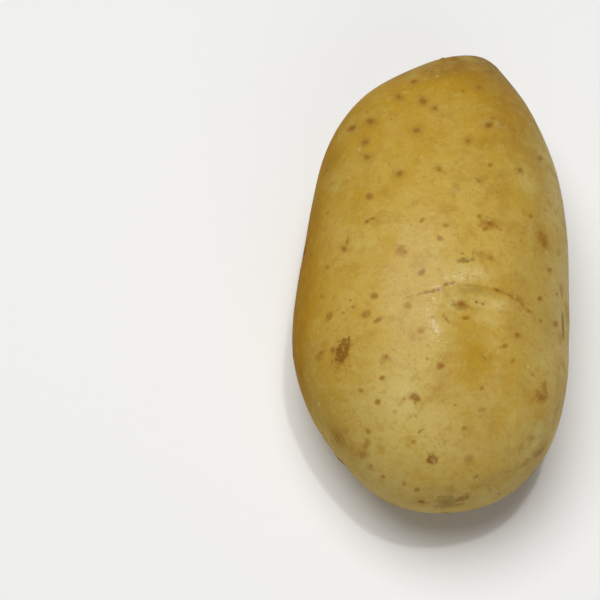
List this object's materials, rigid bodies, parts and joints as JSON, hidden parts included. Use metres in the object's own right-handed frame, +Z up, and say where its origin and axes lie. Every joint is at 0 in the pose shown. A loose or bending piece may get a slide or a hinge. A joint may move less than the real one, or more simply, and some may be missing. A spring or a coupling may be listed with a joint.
{
  "type": "potato",
  "caption": "Whole unpeeled long-oval table potato with thin yellow-brown skin, shallow browed eyes and a stem scar, lying on a small flat spot.",
  "frame": {"origin": "middle of the flat resting spot on the underside", "axes": "+Y along the potato from the bud end to the stem end, +Z up out of the resting surface, +X to the right seen from the bud end"},
  "size_m": [0.0633, 0.1139, 0.0515],
  "materials": {
    "skin": "thin unpeeled skin, yellow-brown with brown breathing pores, russet flecks and small scabs, dull gloss"
  },
  "bodies": {
    "root": {"potato": "skin"}
  },
  "joints": []
}
